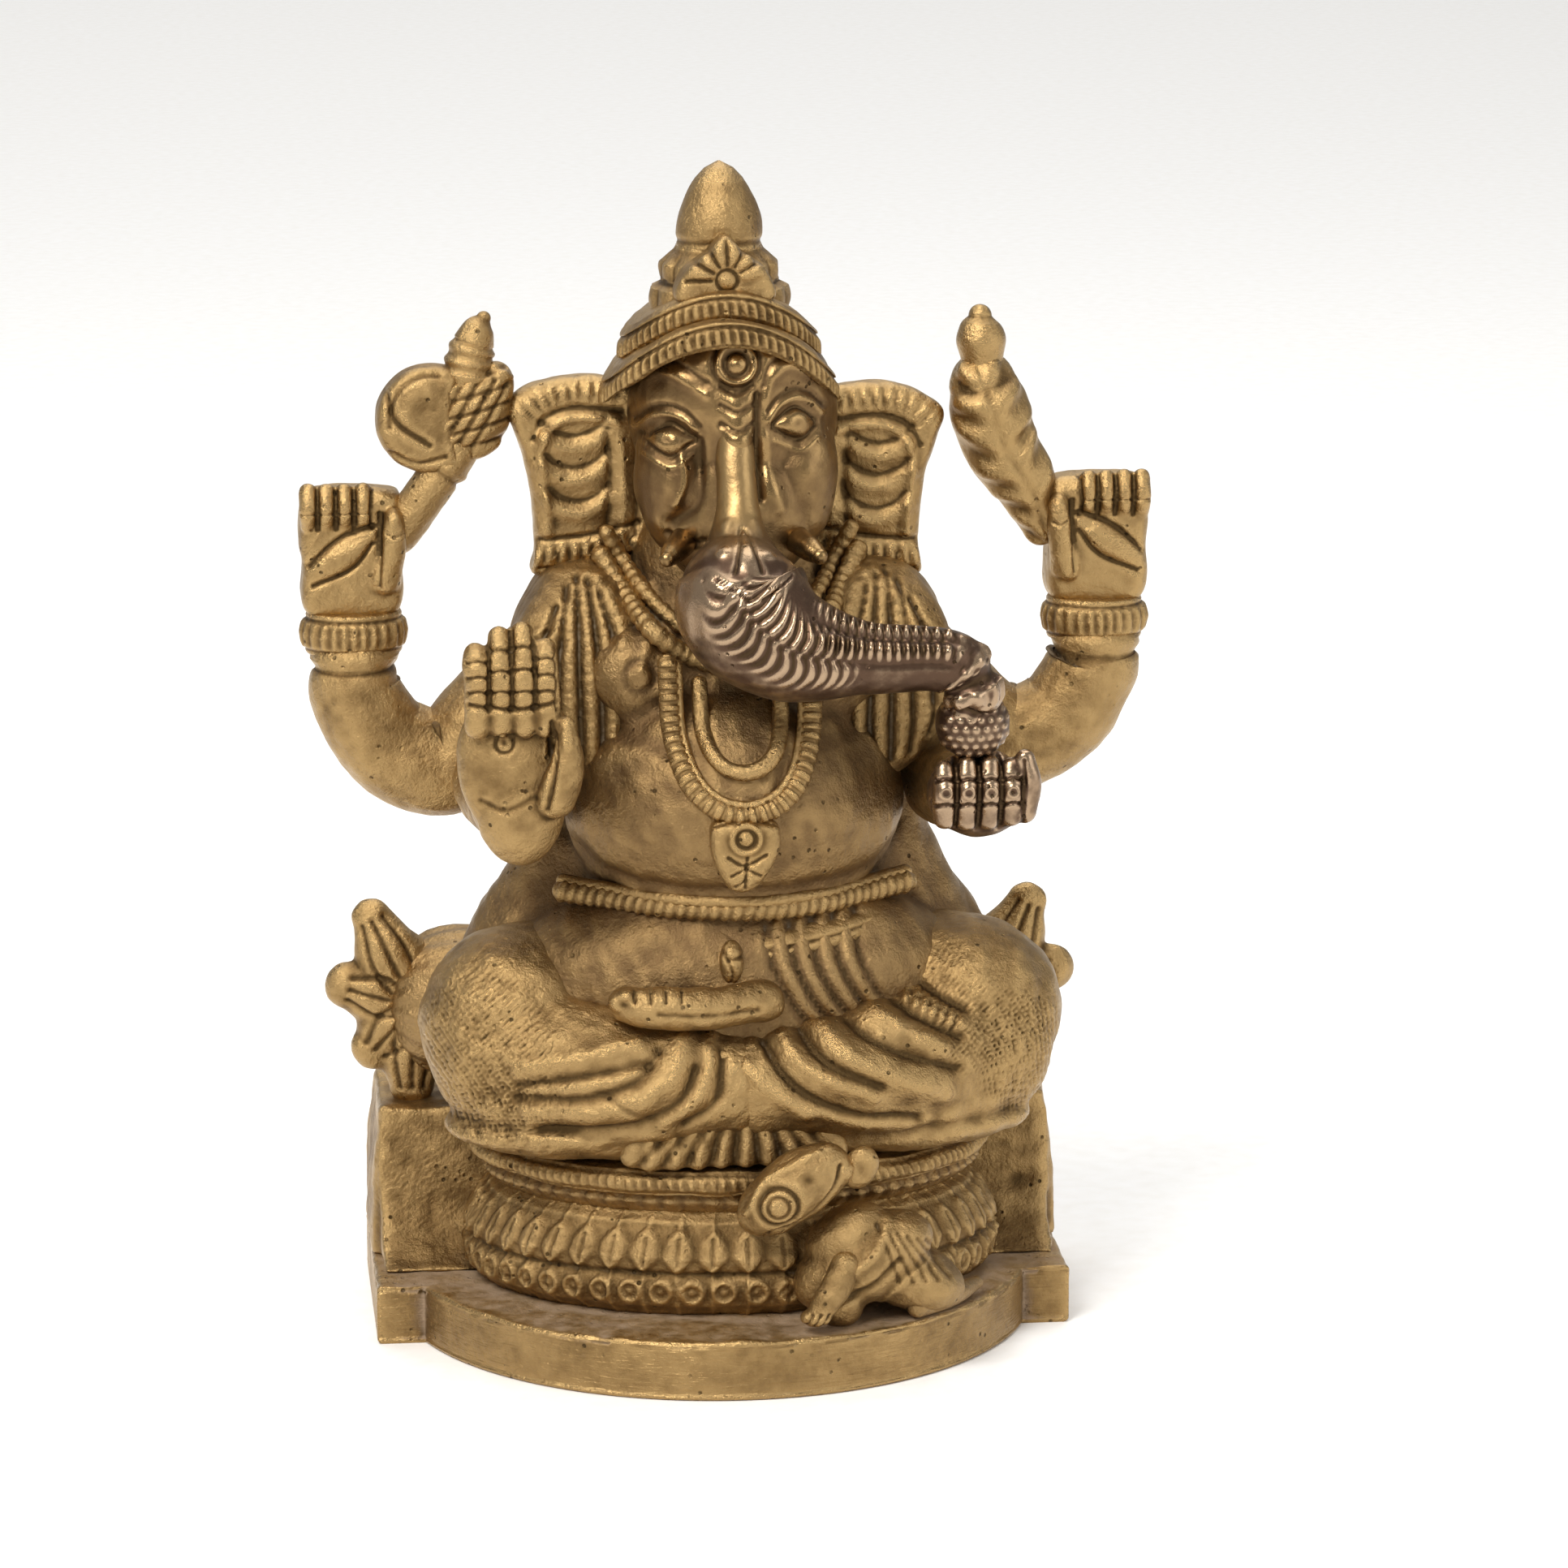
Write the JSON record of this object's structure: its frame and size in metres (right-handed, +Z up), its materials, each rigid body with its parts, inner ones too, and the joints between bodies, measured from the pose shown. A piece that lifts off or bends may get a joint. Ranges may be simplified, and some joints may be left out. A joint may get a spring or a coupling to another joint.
{
  "type": "seated deity figurine",
  "caption": "Cast brass seated elephant-headed deity with raised hand, axe, bud and sweet, on a round lotus seat and bow-fronted plinth, a mouse at its foot.",
  "frame": {"origin": "middle of the flat underside of the plinth, under the middle of the whole figurine", "axes": "+Z up, -Y the way the figure faces, +X to the figure's left"},
  "size_m": [0.083, 0.048, 0.1152],
  "materials": {
    "brass": "aged cast",
    "worn_brass": "worn bright",
    "dull_brass": "dull patina"
  },
  "bodies": {
    "root": {"plinth": "brass", "lotus_ring": "brass", "seat_ledge": "dull_brass", "seat_cushion": "brass", "throne_block": "worn_brass", "torso": "brass", "head": "dull_brass", "trunk": "dull_brass", "right_leg": "worn_brass", "left_leg": "worn_brass", "blessing_hand": "worn_brass", "sweet_hand": "dull_brass", "sweet": "dull_brass", "blessing_arm": "brass", "sweet_arm": "brass", "axe_hand": "worn_brass", "bud_hand": "worn_brass", "axe_bracelet": "worn_brass", "bud_bracelet": "worn_brass", "axe_arm": "brass", "bud_arm": "brass", "axe_socket": "worn_brass", "axe_blade": "worn_brass", "axe_spike": "worn_brass", "axe_haft": "brass", "bud_stem": "worn_brass", "bud_tip": "worn_brass", "crown_brim": "brass", "crown_hoop": "brass", "crown_finial": "worn_brass", "crown_tier": "brass", "crown_plaque": "worn_brass", "right_tusk": "dull_brass", "left_tusk": "dull_brass", "right_shoulder_locks": "brass", "left_shoulder_locks": "brass", "right_ear": "worn_brass", "left_ear": "worn_brass", "left_foot": "worn_brass", "front_pleats": "brass", "bolster": "dull_brass", "right_bolster_end": "worn_brass", "left_bolster_end": "worn_brass", "pendant": "worn_brass", "necklace_outer": "worn_brass", "necklace_inner": "worn_brass", "neck_collar": "brass", "belt": "brass", "waist_sash": "brass", "mouse_body": "brass", "mouse_head": "worn_brass", "mouse_ear": "brass", "mouse_paw": "brass", "mouse_tail": "dull_brass"}
  },
  "joints": []
}
